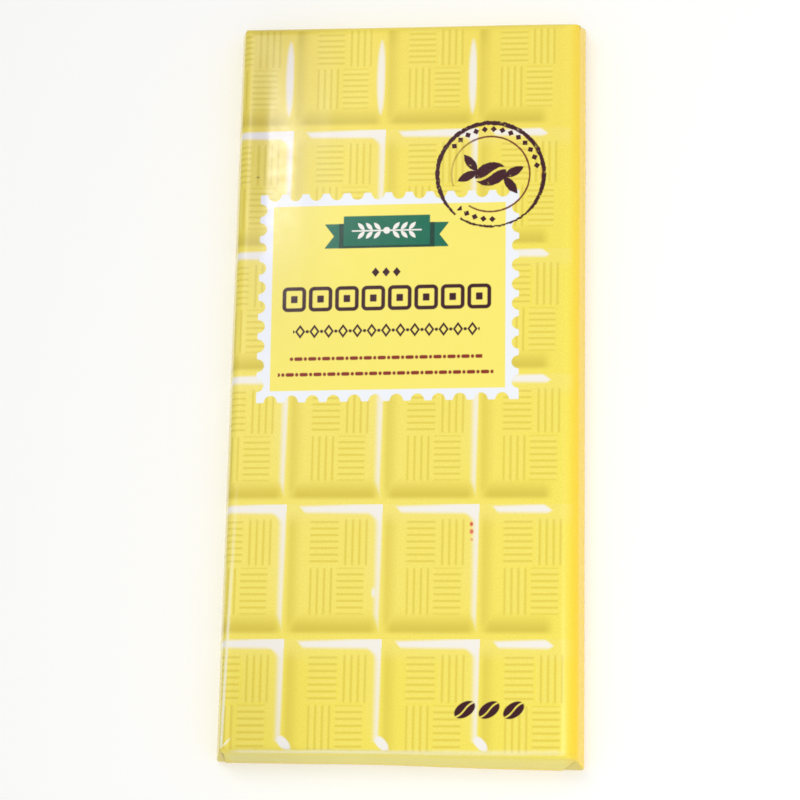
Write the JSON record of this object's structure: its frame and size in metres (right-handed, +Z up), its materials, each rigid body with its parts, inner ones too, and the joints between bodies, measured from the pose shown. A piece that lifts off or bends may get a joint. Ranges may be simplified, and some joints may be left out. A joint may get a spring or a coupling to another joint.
{
  "type": "wrapped baking chocolate block",
  "caption": "Flat baking chocolate block shut in a glossy printed paper wrapper, with sloping walls, a softly rolled edge and ends folded over onto the back.",
  "frame": {"origin": "under the middle of the pack, on the surface that it rests on", "axes": "+X to the right across the printed front, +Y along the length towards the top of the print, +Z up out of the printed front"},
  "size_m": [0.0776, 0.1634, 0.009],
  "materials": {
    "wrapper": "glossy coated paper, yellow, printed"
  },
  "bodies": {
    "root": {"chocolate_pack": "wrapper"}
  },
  "joints": []
}
